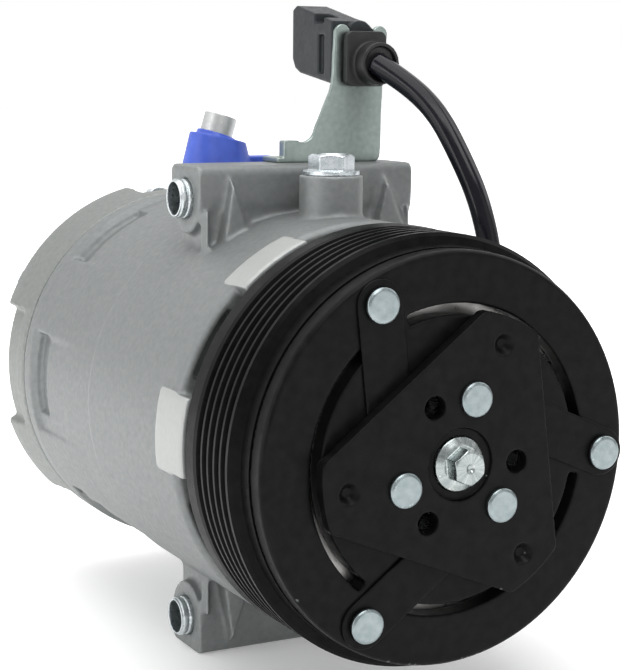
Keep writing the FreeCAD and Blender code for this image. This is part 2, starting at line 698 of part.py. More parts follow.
def destroke_spring():
    wire = 0.7
    mean = 10.4
    turns = 4
    pitch = 2.6
    helix = Part.makeHelix(pitch, pitch * turns, mean)
    section = Part.Wire(Part.makeCircle(wire, vec(mean, 0, 0), vec(0, 1, 0)))
    coil = Part.Wire(helix).makePipeShell([section], True, True)
    coil.rotate(vec(0, 0, 0), vec(1, 0, 0), -90)
    coil.translate(vec(0, LUG_Y[1] + wire + 0.05, 0))
    return coil


def piston(angle):
    """Ringless piston whose bridge reaches around the rim of the swash plate."""
    axis = spot(PITCH_R, angle, 0)
    front = PLATE_Y - BALL_SEAT_R - 3.5
    crown = BLOCK_Y[1] - CROWN_GAP
    body = rod(PISTON_R, front, crown, axis)
    gap = 0.32
    half = PLATE_HALF + 0.6
    reach = 26.0
    outline = [(0, -half), (reach, -half - gap * reach), (reach, half + gap * reach), (0, half)]
    bow = turned(outline)
    bow.translate(vec(axis.x, PLATE_Y, axis.z))
    bow = bow.common(rod(41.8, front - 1, PLATE_Y + 20))
    inner = rod(25.0, front - 1, PLATE_Y + 1)
    seat = Part.makeSphere(BALL_SEAT_R + 0.05, vec(axis.x, PLATE_Y, axis.z))
    seat = seat.common(rod(41.8, front - 1, PLATE_Y + 20))
    return cut(body, [bow, inner, seat])


def shoe_pair(angle):
    """Two slippers, one on each face of the swash plate."""
    axis = spot(PITCH_R, angle, PLATE_Y)
    ball = Part.makeSphere(BALL_SEAT_R, axis)
    gap = PLATE_HALF + SHOE_CLEARANCE
    slab = block((-60, 60), (PLATE_Y - gap, PLATE_Y + gap), (-60, 60))
    return group(ball.cut(slab).Solids)


def cylinder_block():
    body = rod(46.9, *BLOCK_Y)
    tools = [rod(BORE_R, BLOCK_Y[0] - 1, BLOCK_Y[1] + 1, spot(PITCH_R, a, 0)) for a in PISTON_ANGLES]
    tools.append(rod(11.0, BLOCK_Y[0] - 1, 128.0))
    return cut(body, tools)


def needle_bearing(outer, y0, y1):
    return tube(outer, SHAFT_R + 0.05, y0, y1)


def thrust_bearing():
    return tube(34.0, 17.0, FRONT_WALL_Y, LUG_Y[0] - 0.1)


def shaft_seal():
    return turned([
        (SHAFT_R + 0.05, -3.2), (SHAFT_R + 1.2, -4.6), (11.9, -4.6), (11.9, 3.6), (SHAFT_R + 0.9, 3.6),
        (SHAFT_R + 0.9, 1.0), (SHAFT_R + 0.05, -1.0),
    ])


def valve_disc(y0, y1, hole_r, track_r, count_per_bore):
    holes = []
    for a in PISTON_ANGLES:
        for k in range(count_per_bore):
            shift = (k - (count_per_bore - 1) / 2) * 14
            holes.append(rod(hole_r, y0 - 1, y1 + 1, spot(track_r, a + shift, 0)))
    return cut(rod(46.8, y0, y1), holes)


def discharge_reed():
    """Star of six flat fingers over the discharge holes."""
    y0 = 138.1
    y1 = 138.4
    fingers = [turn(block((0, 37), (y0, y1), (-4, 4)), a) for a in PISTON_ANGLES]
    return fuse([rod(14, y0, y1)] + fingers)


def retainer_plate():
    """Stiff star that limits the lift of the reed fingers."""
    y0 = 138.4
    y1 = SEAM_Y + GASKET
    fingers = [turn(block((0, 36), (y0, y1), (-3.4, 3.4)), a) for a in PISTON_ANGLES]
    return fuse([rod(13, y0, y1)] + fingers)


def control_valve():
    return fuse([
        rod(7.9, REAR_Y - 8, REAR_Y + 3.4, vec(0, 0, -28)),
        rod(4.0, REAR_Y + 3.4, REAR_Y + 5.2, vec(0, 0, -28)),
    ])


def relief_valve():
    out = spot(1, 60, 0)
    base = spot(44.5, 60, 152.0)
    shank = Part.makeCylinder(4.95, 12.7, base, out)
    head = hexagon(12.0, 5.0, spot(57.2, 60, 152.0), out)
    nozzle = Part.makeCylinder(3.2, 3.0, spot(62.2, 60, 152.0), out)
    return fuse([shank, head, nozzle])


# ---------------------------------------------------------------- connector and lead

def bracket():
    """Bent steel strip that carries the connector above the top bar."""
    z0 = BAR_OUTER_Z
    y = PLATE_FRONT_Y
    base = block((-5.4, 26.4), (y, 74.0), (z0, z0 + STEEL))
    curl = block((-3.4, 1.2), (y, 67.5), (z0 + STEEL, z0 + 6.2))
    outline = [
        ((12.4, 104.6), (14.8, 106.7), (17.2, 104.4)),
        ((17.2, 91.0),), ((24.6, 91.0),),
        ((24.6, 104.2), (27.0, 106.4), (29.2, 103.6)),
        ((27.9, 88.4),),
        ((27.5, 70.6), (26.9, 68.8), (25.4, z0)),
        ((-0.5, z0),), ((-0.5, z0 + 5.6),),
        ((2.0, z0 + 5.7), (4.8, z0 + 6.7), (6.4, z0 + 9.6)),
        ((10.9, 87.6), (11.6, 90.2), (11.9, 93.2)),
    ]
    edges = []
    last = vec(12.4, y, 104.6)
    for corner in outline[1:] + outline[:1]:
        nodes = [vec(x, y, z) for x, z in corner]
        if len(edges) == 0:
            last = vec(outline[0][-1][0], y, outline[0][-1][1])
        if last.distanceToPoint(nodes[0]) > 0.01:
            edges.append(Part.makeLine(last, nodes[0]))
        if len(nodes) == 3:
            edges.append(Part.Arc(*nodes).toShape())
        last = nodes[-1]
    upright = Part.Face(Part.Wire(edges)).extrude(vec(0, STEEL, 0))
    hole = Part.makeCylinder(3.1, 4, vec(20.0, 70.0, z0 - 1), vec(0, 0, 1))
    return fuse([base, curl, upright]).cut(hole)


def bracket_screw():
    seat = vec(20.0, 70.0, BAR_OUTER_Z + STEEL)
    shank = Part.makeCylinder(3.0, STEEL, vec(20.0, 70.0, BAR_OUTER_Z), vec(0, 0, 1))
    head = Part.makeCylinder(4.0, 2.6, seat, vec(0, 0, 1))
    socket = hexagon(3.0, 2, seat.add(vec(0, 0, 1.2)), vec(0, 0, 1))
    return fuse([shank, head]).cut(socket)


def connector_housing():
    x0, x1 = CONNECTOR_X
    y0, y1 = CONNECTOR_Y
    z0, z1 = CONNECTOR_Z
    side = [
        (y0, z0), (y0, z1 - 4.8), (y1 - 2.4, z1), (y1, z1 - 1.2), (y1, z0 + 7.0), (y1 - 1.6, z0 + 4.4),
        (y1 - 4.8, z0 + 3.0),
    ]
    points = [vec(x0, y, z) for y, z in side]
    body = Part.Face(Part.makePolygon(points + points[:1])).extrude(vec(x1 - x0, 0, 0))
    slope = [vec(x0 + 10.2, y0 - 1, z1 + 1), vec(x1 + 1, y0 - 1, z1 + 1), vec(x1 + 1, y0 - 1, z1 - 9.0),
             vec(x0 + 10.2, y0 - 1, z1 - 4.2)]
    shoulder = Part.Face(Part.makePolygon(slope + slope[:1])).extrude(vec(0, y1 - y0 + 2, 0))
    neck = block((17.4, 24.4), (62.8, y0), (91.3, 103.2))
    dome = rod(4.2, y0 - 1.0, y0 + 6.0, vec(20.7, 0, 103.6))
    dome = dome.common(block((17.2, 24.6), (y0 - 1.0, y0 + 6.0), (95.0, 112.0)))
    socket = block((15.0, 24.6), (78.0, y1 + 1), (97.0, 107.4))
    slot = block((x0 - 1, x0 + 1.2), (70.4, 73.6), (92.9, 103.8))
    latch = block((x0 - 1, x0 + 5.0), (70.6, 76.0), (107.0, z1 + 1))
    bores = [rod(PIN_R, PIN_Y[0], PIN_Y[1], vec(x, 0, PIN_Z)) for x in PIN_X]
    body = cut(body, [shoulder, socket, slot, latch])
    return cut(fuse([body, neck, dome]), bores)


def connector_pins():
    return group([rod(PIN_R, PIN_Y[0], PIN_Y[1], vec(x, 0, PIN_Z)) for x in PIN_X])


def connector_boot():
    """Rubber block in front of the bracket with a round collar for the lead."""
    body = block((14.4, 27.2), (60.6, 62.8), (89.4, 104.8))
    edges = [e for e in body.Edges if abs(e.tangentAt(e.FirstParameter).y) > 0.9]
    body = body.makeFillet(2.0, edges)
    collar = rod(BOOT_COLLAR_R, BOOT_COLLAR_Y, 61.0, BOOT_COLLAR_AT)
    recess = rod(BOOT_COLLAR_R - 1.1, BOOT_COLLAR_Y, BOOT_COLLAR_Y + 1.2, BOOT_COLLAR_AT)
    start = vec(*LEAD_ROUTE[0])
    along = vec(*LEAD_ROUTE[1]).sub(start).normalize()
    lead_hole = Part.makeCylinder(LEAD_D / 2, 9.0, start, along)
    return fuse([body, collar]).cut(recess).cut(lead_hole)


def lead_path():
    """Straight runs joined by tangent arcs, each as large as its runs allow."""
    points = [vec(*p) for p in LEAD_ROUTE]
    edges = []
    last = points[0]
    for before, here, after in zip(points, points[1:], points[2:]):
        inward = before.sub(here).normalize()
        outward = after.sub(here).normalize()
        half_turn = (math.pi - inward.getAngle(outward)) / 2
        shorter = min(before.distanceToPoint(here), after.distanceToPoint(here))
        radius = 0.45 * shorter / math.tan(half_turn)
        print(f"lead bend radius {radius:.1f} = {radius / LEAD_D:.1f} diameters")
        reach = 0.45 * shorter
        enter = here.add(vec(*(inward * reach)))
        leave = here.add(vec(*(outward * reach)))
        bisector = inward.add(outward).normalize()
        middle = here.add(bisector * (radius / math.cos(half_turn) - radius))
        edges.append(Part.makeLine(last, enter))
        edges.append(Part.Arc(enter, middle, leave).toShape())
        last = leave
    edges.append(Part.makeLine(last, points[-1]))
    return Part.Wire(edges)


def coil_lead():
    path = lead_path()
    start = vec(*LEAD_ROUTE[0])
    along = vec(*LEAD_ROUTE[1]).sub(start).normalize()
    section = Part.Wire(Part.makeCircle(LEAD_D / 2, start, along))
    lead = path.makePipeShell([section], True, False)
    expected = path.Length * math.pi * (LEAD_D / 2) ** 2
    print(f"lead length {path.Length:.1f}, volume {lead.Volume:.1f}, section x length {expected:.1f}")
    return lead


def coil_gland():
    """Rubber grommet on the back of the coil, with a collar around the lead's end."""
    end = vec(*LEAD_ROUTE[-1])
    along = end.sub(vec(*LEAD_ROUTE[-2])).normalize()
    collar = Part.makeCylinder(4.0, 6.0, end, along)
    body = turn(block((39.6, 45.0), (FACE_Y + 0.02, 23.6), (-5.0, 5.0)), GLAND_ANGLE)
    return fuse([body, collar])


# ---------------------------------------------------------------- port caps

def port_cap():
    """Plastic cap over both ports: a tall cone, a low cone and a strap between."""
    foot = slot_outline(CAP_X, CAP_Y, CAP_HALF, CAP_BASE_R, PORT_Z)
    peak = slot_outline(CAP_X, CAP_Y, CAP_HALF, CAP_TOP_R, PORT_Z + 17.5)
    tall = Part.makeLoft([foot, peak], True, True)
    lid = block((-40, 40), (-20, 20), (0, 30))
    lid.rotate(vec(0, 0, 0), vec(0, 1, 0), CAP_SLOPE)
    lid.translate(vec(CAP_X, CAP_Y, CAP_TOP_Z))
    low = Part.makeCone(7.0, 6.2, 4.0, vec(LOW_PORT_X, CAP_Y, PORT_Z), vec(0, 0, 1))
    strap = block((CAP_X + 4, LOW_PORT_X), (CAP_Y - 3.5, CAP_Y + 3.5), (PORT_Z, PORT_Z + 6.2))
    plugs = [
        Part.makeCylinder(6.3, 5.0, vec(CAP_X, CAP_Y, PORT_Z - 5.0), vec(0, 0, 1)),
        Part.makeCylinder(4.3, 5.0, vec(LOW_PORT_X, CAP_Y, PORT_Z - 5.0), vec(0, 0, 1)),
    ]
    collar = stud_shape(STUD_R + 0.8, 6.2)
    return fuse([tall.cut(lid), collar, low, strap] + plugs).cut(stud_shape(STUD_R + 0.05, 13.0))


def stud_shape(radius, length):
    direction = vec(0.31, 0, 1).normalize()
    return Part.makeCylinder(radius, length, vec(CAP_X - 2.0, CAP_Y, CAP_TOP_Z - 5.0), direction)


def port_cap_stud():
    return stud_shape(STUD_R, 11.6)


def build():
    save("main_housing", main_housing())
    save("rear_head", rear_head())
    save("head_gasket", head_gasket())
    save("case_bolts", case_bolts())
    save("mount_sleeves", mount_sleeves())
    save("oil_plug", oil_plug())
    save("cylinder_block", cylinder_block())
    save("suction_reed", valve_disc(135.4, 135.7, 3.0, 38.0, 1))
    save("valve_plate", valve_disc(135.7, 138.1, 2.2, 33.0, 2))
    save("discharge_reed", discharge_reed())
    save("retainer_plate", retainer_plate())
    save("control_valve", control_valve())
    save("relief_valve", relief_valve())
    save("shaft", shaft())
    save("lug_plate", lug_plate())
    save("destroke_spring", destroke_spring())
    save("swash_plate", swash_plate())
    save("guide_pins", guide_pins())
    for number, angle in enumerate(PISTON_ANGLES, 1):
        save(f"piston_{number}", piston(angle))
        save(f"shoes_{number}", shoe_pair(angle))
    save("front_needle_bearing", needle_bearing(11.5, 6.0, 24.0))
    save("rear_needle_bearing", needle_bearing(11.0, 100.0, 116.0))
    save("thrust_bearing", thrust_bearing())
    save("shaft_seal", shaft_seal())
    save("seal_snap_ring", split_ring(12.8, 10.2, -8.2, -7.2, 270))
    save("bearing_snap_ring", split_ring(19.4, 16.4, -10.6, BEARING_Y[0], 270))
    save("coil_snap_ring", split_ring(22.6, 19.2, 11.8, COIL_Y[1], 270))
    save("pulley", pulley())
    save("bearing_outer_race", bearing_outer_race())
    save("bearing_inner_race", bearing_inner_race())
    save("bearing_balls", bearing_balls())
    save("coil_shell", coil_shell())
    save("coil_winding", coil_winding())
    save("armature_plate", armature_plate())
    save("armature_rivets", armature_rivets())
    save("leaf_springs", leaf_springs())
    save("hub_plate", hub_plate())
    save("hub", hub())
    save("hub_rivets", hub_rivets())
    save("centre_bolt", centre_bolt())
    save("shim", shim())
    save("bracket", bracket())
    save("bracket_screw", bracket_screw())
    save("connector_housing", connector_housing())
    save("connector_pins", connector_pins())
    save("connector_boot", connector_boot())
    save("coil_lead", coil_lead())
    save("coil_gland", coil_gland())
    save("port_cap", port_cap())
    save("port_cap_stud", port_cap_stud())


build()
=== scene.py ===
import json
import math

import bmesh
import bpy
from mathutils import Matrix, Vector, noise


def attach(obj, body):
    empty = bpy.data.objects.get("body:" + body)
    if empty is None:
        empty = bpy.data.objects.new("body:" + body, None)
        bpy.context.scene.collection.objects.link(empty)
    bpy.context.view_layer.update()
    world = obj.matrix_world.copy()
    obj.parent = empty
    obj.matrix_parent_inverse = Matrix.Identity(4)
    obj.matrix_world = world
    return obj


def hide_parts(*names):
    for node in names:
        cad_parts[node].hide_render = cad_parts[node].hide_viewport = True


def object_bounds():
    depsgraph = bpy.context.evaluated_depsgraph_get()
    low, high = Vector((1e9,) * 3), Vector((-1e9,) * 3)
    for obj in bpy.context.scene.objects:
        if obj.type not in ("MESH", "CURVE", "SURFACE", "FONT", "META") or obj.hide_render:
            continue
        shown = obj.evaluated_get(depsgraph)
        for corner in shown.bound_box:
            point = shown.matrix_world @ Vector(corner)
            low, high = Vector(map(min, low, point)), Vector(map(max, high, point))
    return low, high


# Looks of a belt driven air-conditioning compressor with a magnetic clutch.
# Metres. The shaft lies along Y, the pulley faces -Y, Z is up.

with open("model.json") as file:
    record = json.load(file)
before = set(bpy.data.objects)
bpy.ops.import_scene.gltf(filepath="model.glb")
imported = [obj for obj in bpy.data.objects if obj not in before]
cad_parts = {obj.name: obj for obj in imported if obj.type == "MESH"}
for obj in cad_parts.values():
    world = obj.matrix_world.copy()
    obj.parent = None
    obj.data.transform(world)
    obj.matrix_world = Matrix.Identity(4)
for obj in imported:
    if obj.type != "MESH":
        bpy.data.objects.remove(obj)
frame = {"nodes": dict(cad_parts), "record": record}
cad_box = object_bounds()
nodes = frame["nodes"]
body_of_node = {n: body for body, names in frame["record"]["behaviour"]["bodies"].items() for n in names}
slot_of_node = {part["node"]: part["material_slot"] for part in frame["record"]["subparts"]}

MM = 0.001

# Camera
CAMERA_PLACE = (-0.22094, -0.36783, 0.09390)
CAMERA_RIGHT = (0.88615, -0.46333, 0.00838)
CAMERA_UP = (0.06313, 0.13863, 0.98833)
CAMERA_BACK = (-0.45908, -0.87528, 0.15210)
CAMERA_LENS = 92.57

# Machined pads behind the pulley: least radius, rear end and tone
PAD_RADIUS = 0.0554
PAD_REAR = 0.0326
MACHINED_TONE = (0.41, 0.42, 0.41)

# Bare friction face of the pulley: in front of this Y, inside this radius
FACE_Y = -0.0144
FACE_RADIUS = 0.051
FACE_TONE = (0.42, 0.41, 0.40)

# Studio floor
FLOOR_REACH = 6.0
FLOOR_TONE = (0.93, 0.93, 0.93, 1)

# Grid and smoothing passes for each softened piece, in millimetres
SOFTENED = (
    (0.7, 3, ("main_housing", "rear_head")),
    (0.15, 8, ("oil_plug", "port_cap_stud")),
    (0.2, 3, ("mount_sleeves", "hub_rivets", "armature_rivets")),
    (0.3, 2, ("leaf_springs",)),
    (0.4, 3, ("armature_plate",)),
    (0.32, 3, ("bracket", "connector_housing", "connector_boot", "port_cap", "hub_plate")),
    (0.4, 2, ("case_bolts",)),
    (0.2, 3, ("centre_bolt",)),
)

# Coil lead, the same route as the CAD tube
LEAD_DIAMETER = 0.0067
LEAD_ROUTE = [
    (0.0216, 0.0574, 0.0961),
    (0.0276, 0.0496, 0.0906),
    (0.0320, 0.0406, 0.0826),
    (0.0344, 0.0326, 0.0714),
    (0.0375, 0.0266, 0.0588),
    (0.0398, 0.0229, 0.0416),
    (0.0380, 0.0204, 0.0302),
]


# ---------------------------------------------------------------- camera, floor and light

def make_camera():
    data = bpy.data.cameras.new("camera")
    data.lens = CAMERA_LENS
    data.sensor_width = 36.0
    data.clip_start = 0.01
    data.clip_end = 50.0
    camera = bpy.data.objects.new("camera", data)
    turned = Matrix((CAMERA_RIGHT, CAMERA_UP, CAMERA_BACK)).transposed()
    camera.matrix_world = Matrix.Translation(CAMERA_PLACE) @ turned.to_4x4()
    bpy.context.scene.collection.objects.link(camera)
    bpy.context.scene.camera = camera


def make_floor():
    low = cad_box[0].z
    mesh = bpy.data.meshes.new("floor")
    turns = ((-1, -1), (1, -1), (1, 1), (-1, 1))
    corners = [(FLOOR_REACH * x, FLOOR_REACH * y, low) for x, y in turns]
    mesh.from_pydata(corners, [], [(0, 1, 2, 3)])
    floor = bpy.data.objects.new("floor", mesh)
    bpy.context.scene.collection.objects.link(floor)
    material = bpy.data.materials.new("floor_paint")
    material.use_nodes = True
    tree = material.node_tree
    shader = tree.nodes["Principled BSDF"]
    shader.inputs["Base Color"].default_value = FLOOR_TONE
    shader.inputs["Roughness"].default_value = 0.9
    shader.inputs["Specular IOR Level"].default_value = 0.1
    shader.inputs["Emission Color"].default_value = (1, 1, 1, 1)
    place = tree.nodes.new("ShaderNodeTexCoord")
    parts = tree.nodes.new("ShaderNodeSeparateXYZ")
    glow = tree.nodes.new("ShaderNodeMapRange")
    glow.interpolation_type = "SMOOTHSTEP"
    glow.inputs["From Min"].default_value = -0.1
    glow.inputs["From Max"].default_value = 0.5
    glow.inputs["To Min"].default_value = 0.1
    glow.inputs["To Max"].default_value = 0.75
    tree.links.new(place.outputs["Object"], parts.inputs["Vector"])
    tree.links.new(parts.outputs["Y"], glow.inputs["Value"])
    tree.links.new(glow.outputs["Result"], shader.inputs["Emission Strength"])
    mesh.materials.append(material)


def make_world():
    world = bpy.data.worlds.new("studio")
    world.use_nodes = True
    bpy.context.scene.world = world
    tree = world.node_tree
    background = tree.nodes["Background"]
    background.inputs["Color"].default_value = (1, 1, 1, 1)
    place = tree.nodes.new("ShaderNodeTexCoord")
    parts = tree.nodes.new("ShaderNodeSeparateXYZ")
    fade = tree.nodes.new("ShaderNodeMapRange")
    fade.interpolation_type = "SMOOTHSTEP"
    fade.inputs["From Min"].default_value = -0.35
    fade.inputs["From Max"].default_value = 0.45
    fade.inputs["To Min"].default_value = 0.42
    fade.inputs["To Max"].default_value = 1.0
    tree.links.new(place.outputs["Generated"], parts.inputs["Vector"])
    tree.links.new(parts.outputs["Y"], fade.inputs["Value"])
    tree.links.new(fade.outputs["Result"], background.inputs["Strength"])


def softbox(name, place, aim, width, height, power):
    data = bpy.data.lights.new(name, "AREA")
    data.shape = "RECTANGLE"
    data.size = width
    data.size_y = height
    data.energy = power
    light = bpy.data.objects.new(name, data)
    light.location = place
    light.rotation_euler = (Vector(aim) - Vector(place)).to_track_quat("-Z", "Y").to_euler()
    bpy.context.scene.collection.objects.link(light)


def make_lights():
    middle = (cad_box[0] + cad_box[1]) / 2
    softbox("top_light", (-0.1, 0.1, 1.1), middle, 1.0, 1.2, 7.0)
    softbox("left_light", (-1.2, 0.1, 0.45), middle, 0.5, 0.9, 2.2)
    softbox("right_light", (0.9, -0.1, 0.7), middle, 0.5, 0.8, 2.0)
    softbox("front_light", (0.55, -1.15, 0.3), middle, 1.0, 0.9, 1.2)
    softbox("high_light", (-0.1, -0.85, 1.1), middle, 0.8, 0.8, 7.0)
    softbox("strip_light", (-1.2, -0.24, 0.2), middle, 0.16, 0.7, 1.5)


# ---------------------------------------------------------------- materials

class Paint:
    """A procedural material built up from noise on the piece's own coordinates."""

    def __init__(self, name, metallic, roughness, specular=0.5):
        self.material = bpy.data.materials.new(name)
        self.material.use_nodes = True
        self.tree = self.material.node_tree
        self.shader = self.tree.nodes["Principled BSDF"]
        self.shader.inputs["Metallic"].default_value = metallic
        self.shader.inputs["Roughness"].default_value = roughness
        self.shader.inputs["Specular IOR Level"].default_value = specular
        self.place = self.node("ShaderNodeTexCoord").outputs["Object"]
        self.normal = None

    def node(self, kind, **settings):
        made = self.tree.nodes.new(kind)
        for key, value in settings.items():
            setattr(made, key, value)
        return made

    def link(self, source, target):
        self.tree.links.new(source, target)

    def math(self, operation, first, second):
        made = self.node("ShaderNodeMath", operation=operation)
        for socket, value in zip(made.inputs, (first, second)):
            if isinstance(value, (int, float)):
                socket.default_value = value
            else:
                self.link(value, socket)
        return made.outputs[0]

    def noise(self, size, detail=3.0):
        """Noise whose features are about size metres wide."""
        made = self.node("ShaderNodeTexNoise")
        made.inputs["Scale"].default_value = 1.0 / size
        made.inputs["Detail"].default_value = detail
        self.link(self.place, made.inputs["Vector"])
        return made.outputs["Fac"]

    def across(self):
        """Position with the part along the shaft taken out."""
        flat = self.node("ShaderNodeVectorMath", operation="MULTIPLY")
        flat.inputs[1].default_value = (1, 0, 1)
        self.link(self.place, flat.inputs[0])
        return flat.outputs[0]

    def radius(self):
        """Distance from the shaft axis."""
        length = self.node("ShaderNodeVectorMath", operation="LENGTH")
        self.link(self.across(), length.inputs[0])
        return length.outputs["Value"]

    def along(self):
        """Position along the shaft axis."""
        parts = self.node("ShaderNodeSeparateXYZ")
        self.link(self.place, parts.inputs["Vector"])
        return parts.outputs["Y"]

    def inside(self, front_of, radius):
        """One where the surface is both in front of a plane across the axis and nearer to the axis."""
        forward = self.math("LESS_THAN", self.along(), front_of)
        return self.math("MULTIPLY", forward, self.math("LESS_THAN", self.radius(), radius))

    def rings(self, size, detail=2.0):
        """Noise that only changes with the distance from the shaft axis, as turning marks do."""
        made = self.node("ShaderNodeTexNoise", noise_dimensions="1D")
        made.inputs["Scale"].default_value = 1.0 / size
        made.inputs["Detail"].default_value = detail
        self.link(self.radius(), made.inputs["W"])
        return made.outputs["Fac"]

    def spread(self, fac, low, high):
        """Maps the middle of a noise onto low to high."""
        made = self.node("ShaderNodeMapRange")
        made.inputs["From Min"].default_value = 0.3
        made.inputs["From Max"].default_value = 0.7
        made.inputs["To Min"].default_value = low
        made.inputs["To Max"].default_value = high
        self.link(fac, made.inputs["Value"])
        return made.outputs["Result"]

    def colour(self, fac, dark, light):
        """Colour that wanders between two tones with the noise."""
        ramp = self.node("ShaderNodeValToRGB")
        ramp.color_ramp.elements[0].position = 0.3
        ramp.color_ramp.elements[0].color = (*dark, 1)
        ramp.color_ramp.elements[1].position = 0.7
        ramp.color_ramp.elements[1].color = (*light, 1)
        self.link(fac, ramp.inputs["Fac"])
        self.link(ramp.outputs["Color"], self.shader.inputs["Base Color"])
        return ramp.outputs["Color"]

    def over(self, colour, mask, top):
        """Covers a colour with one flat tone where the mask is one."""
        mix = self.node("ShaderNodeMix", data_type="RGBA")
        self.link(mask, mix.inputs["Factor"])
        self.link(colour, mix.inputs["A"])
        mix.inputs["B"].default_value = (*top, 1)
        self.link(mix.outputs["Result"], self.shader.inputs["Base Color"])
        return mix.outputs["Result"]

    def edges(self, colour, light, start, end):
        """Lighter tone along the outer edge lines, found by pointiness: a painted highlight, and on thin
        coats partly wear.
        """
        bare = self.node("ShaderNodeNewGeometry").outputs["Pointiness"]
        fade = self.node("ShaderNodeMapRange")
        fade.inputs["From Min"].default_value = start
        fade.inputs["From Max"].default_value = end
        self.link(bare, fade.inputs["Value"])
        return self.over(colour, fade.outputs["Result"], light)

    def rough(self, fac, low, high):
        self.link(self.spread(fac, low, high), self.shader.inputs["Roughness"])

    def bump(self, fac, depth):
        """Bump of about depth metres; more bumps add up."""
        made = self.node("ShaderNodeBump")
        made.inputs["Strength"].default_value = 1.0
        made.inputs["Distance"].default_value = depth
        self.link(fac, made.inputs["Height"])
        if self.normal:
            self.link(self.normal, made.inputs["Normal"])
        self.normal = made.outputs["Normal"]
        self.link(self.normal, self.shader.inputs["Normal"])


def cast_paint(name, dark, light):
    """Sand-grained cast aluminium, satin, with a painted highlight along its outer edge lines, and brighter
    on the machined locating pads.
    """
    p = Paint(name, 0.45, 0.48)
    tone = p.colour(p.noise(1.6 * MM, 4.0), dark, light)
    # Painted highlight: the edge lines are lightened to twice the light tone.
    edge_highlit_tone = p.edges(tone, tuple(min(1.0, c * 2.0) for c in light), 0.53, 0.62)
    in_front = p.math("LESS_THAN", p.along(), PAD_REAR)
    proud = p.math("GREATER_THAN", p.radius(), PAD_RADIUS)
    p.over(edge_highlit_tone, p.math("MULTIPLY", in_front, proud), MACHINED_TONE)
    p.rough(p.noise(1.5 * MM), 0.44, 0.56)
    p.bump(p.noise(0.5 * MM, 4.0), 0.03 * MM)
    return p.material


def zinc_paint(name, dark, light, low=0.22, high=0.36):
    """Zinc plated steel: faint bluish clouds and fine scratches."""
    p = Paint(name, 1.0, 0.3)
    tone = p.colour(p.noise(1.6 * MM, 4.0), dark, light)
    # Painted highlight: the edge lines are lightened to 1.3 times the light tone.
    p.edges(tone, tuple(min(1.0, c * 1.3) for c in light), 0.54, 0.64)
    p.rough(p.noise(0.8 * MM), low, high)
    p.bump(p.noise(0.35 * MM, 3.0), 0.004 * MM)
    return p.material


def spun_paint(name, dark, light):
    """Plated steel brushed in streaks that run out from the shaft axis."""
    p = Paint(name, 1.0, 0.25)
    outward = p.node("ShaderNodeVectorMath", operation="NORMALIZE")
    p.link(p.across(), outward.inputs[0])
    streaks = p.node("ShaderNodeTexNoise")
    streaks.inputs["Scale"].default_value = 3.5
    streaks.inputs["Detail"].default_value = 5.0
    p.link(outward.outputs[0], streaks.inputs["Vector"])
    tone = p.colour(streaks.outputs["Fac"], dark, light)
    # Painted highlight along the edge lines.
    p.edges(tone, (0.7, 0.72, 0.7), 0.54, 0.64)
    p.rough(p.noise(0.8 * MM), 0.2, 0.34)
    p.bump(p.noise(0.3 * MM, 3.0), 0.004 * MM)
    return p.material


def turned_paint(name, dark, light, low=0.25, high=0.4):
    """Bare metal with turning marks around the shaft axis."""
    p = Paint(name, 1.0, 0.32)
    p.colour(p.rings(0.8 * MM), dark, light)
    p.rough(p.rings(0.5 * MM), low, high)
    p.bump(p.rings(0.22 * MM), 0.012 * MM)
    return p.material


def coat_finish(p, low, high):
    """Faint turning marks under a slightly orange-peeled coat."""
    p.rough(p.noise(2.5 * MM, 4.0), low, high)
    p.bump(p.rings(0.6 * MM), 0.006 * MM)
    p.bump(p.noise(0.5 * MM, 3.0), 0.012 * MM)


def black_paint(name, dark, light, low, high):
    """Satin black coat on turned or stamped steel, lighter along its edge lines: partly wear through the thin
    coat, partly a painted highlight.
    """
    p = Paint(name, 0.0, 0.35, 0.1)
    tone = p.colour(p.noise(3 * MM, 5.0), dark, light)
    # Lighter edge lines: partly wear, partly a painted highlight.
    p.edges(tone, (0.13, 0.14, 0.14), 0.56, 0.68)
    coat_finish(p, low, high)
    return p.material


def pulley_paint(name, dark, light, low, high):
    """Black coat with bare turned steel on the friction face under the armature."""
    p = Paint(name, 0.0, 0.35, 0.07)
    tone = p.colour(p.noise(3 * MM, 5.0), dark, light)
    # Lighter groove crests and edge lines: partly wear of the coat, partly a painted highlight.
    coat = p.edges(tone, (0.045, 0.046, 0.046), 0.57, 0.68)
    bare = p.inside(FACE_Y, FACE_RADIUS)
    p.over(coat, bare, FACE_TONE)
    p.link(bare, p.shader.inputs["Metallic"])
    coat_finish(p, low, high)
    return p.material


def moulded_paint(name, dark, light, low, high, specular=0.5, depth=0.02 * MM):
    """Moulded plastic or rubber with a fine grain."""
    p = Paint(name, 0.0, 0.45, specular)
    p.colour(p.noise(5 * MM, 3.0), dark, light)
    p.rough(p.noise(1.5 * MM), low, high)
    p.bump(p.noise(0.4 * MM, 3.0), depth)
    return p.material


def wire_paint(name, dark, light):
    """Enamelled copper wire wound around the shaft axis."""
    p = Paint(name, 1.0, 0.35)
    wave = p.node("ShaderNodeTexWave", bands_direction="Y")
    wave.inputs["Scale"].default_value = 450.0
    wave.inputs["Distortion"].default_value = 0.3
    p.link(p.place, wave.inputs["Vector"])
    p.colour(wave.outputs["Fac"], dark, light)
    p.rough(p.noise(1.0 * MM), 0.25, 0.45)
    p.bump(wave.outputs["Fac"], 0.15 * MM)
    return p.material


